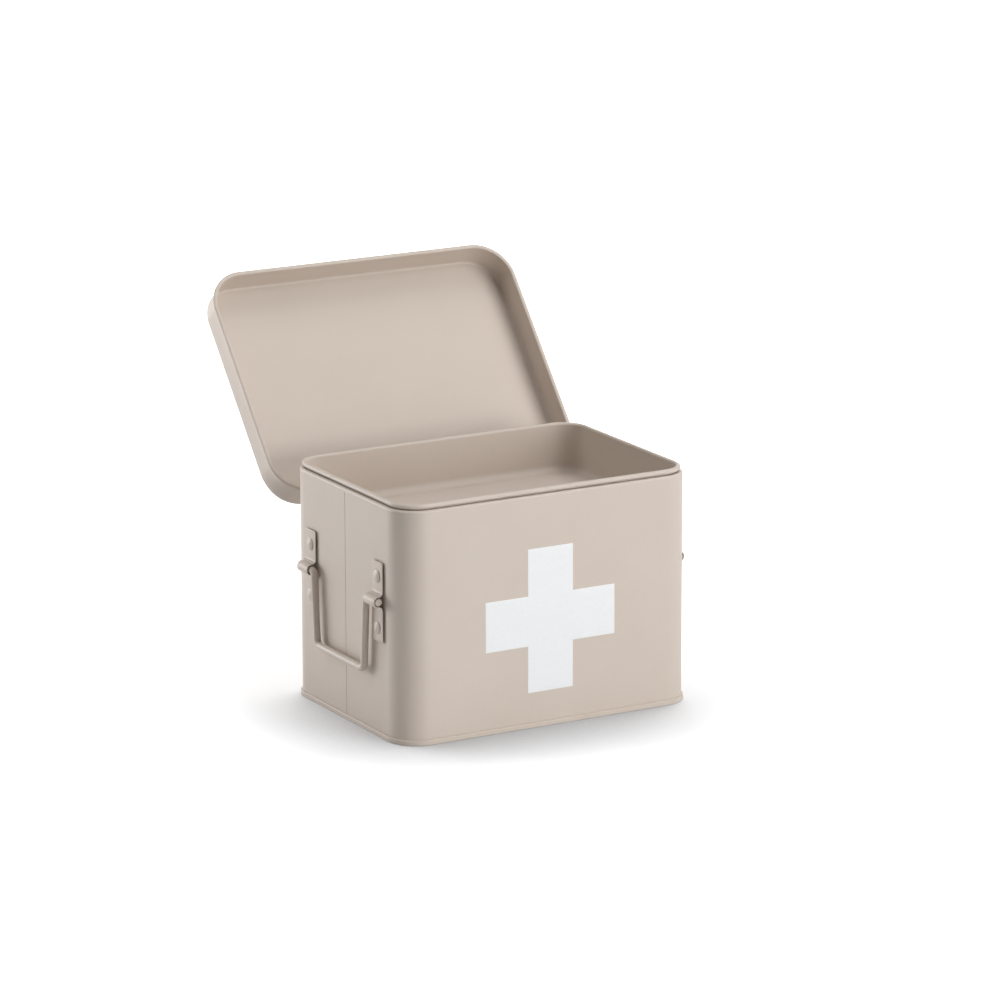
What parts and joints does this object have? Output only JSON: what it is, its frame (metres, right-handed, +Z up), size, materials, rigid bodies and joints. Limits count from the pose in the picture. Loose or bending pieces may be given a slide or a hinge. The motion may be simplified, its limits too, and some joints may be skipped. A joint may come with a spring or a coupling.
{
  "type": "medicine box",
  "caption": "Sheet steel box with a cross on its front, a lid hinged at the back that leans open, a lift-out tray in its mouth and a swinging wire handle on each side.",
  "frame": {"origin": "on the floor under the middle of the box, in the plane that its bottom rim stands on", "axes": "+Z up, +X to the right as one faces the cross, +Y from the front to the hinged back"},
  "size_m": [0.231, 0.2768, 0.2592],
  "materials": {
    "taupe_powder_coat": "satin powder coat with a fine orange peel",
    "white_print": "satin white ink printed on the powder coat"
  },
  "bodies": {
    "box": {"body_shell": "taupe_powder_coat", "base_panel": "taupe_powder_coat", "tray_rails": "taupe_powder_coat", "cross_print": "white_print", "hinge_body_leaf_left": "taupe_powder_coat", "hinge_body_leaf_right": "taupe_powder_coat", "hinge_body_rivets": "taupe_powder_coat", "hinge_pin_left": "taupe_powder_coat", "hinge_pin_right": "taupe_powder_coat", "strap_left_front": "taupe_powder_coat", "strap_left_rear": "taupe_powder_coat", "strap_right_front": "taupe_powder_coat", "strap_right_rear": "taupe_powder_coat", "strap_washers_left": "taupe_powder_coat", "strap_washers_right": "taupe_powder_coat", "strap_rivets_left": "taupe_powder_coat", "strap_rivets_right": "taupe_powder_coat"},
    "lid": {"lid": "taupe_powder_coat", "hinge_lid_leaf_left": "taupe_powder_coat", "hinge_lid_leaf_right": "taupe_powder_coat", "hinge_lid_rivets": "taupe_powder_coat"},
    "tray": {"tray": "taupe_powder_coat"},
    "handle_left": {"handle_left": "taupe_powder_coat"},
    "handle_right": {"handle_right": "taupe_powder_coat"}
  },
  "joints": [
    {"name": "lid_hinge", "type": "hinge", "parent": "box", "child": "lid", "pos_m": [0, 0.07915, 0.13632], "axis": [1, 0, 0], "range_deg": [0, 130]},
    {"name": "tray_lift", "type": "slide", "parent": "box", "child": "tray", "axis": [0, 0, 1], "range_m": [0, 0.05]},
    {"name": "handle_left_swing", "type": "hinge", "parent": "box", "child": "handle_left", "pos_m": [-0.1117, 0, 0.0912], "axis": [0, 1, 0], "range_deg": [-1.5, 170]},
    {"name": "handle_right_swing", "type": "hinge", "parent": "box", "child": "handle_right", "pos_m": [0.1117, 0, 0.0912], "axis": [0, -1, 0], "range_deg": [-1.5, 170]}
  ]
}
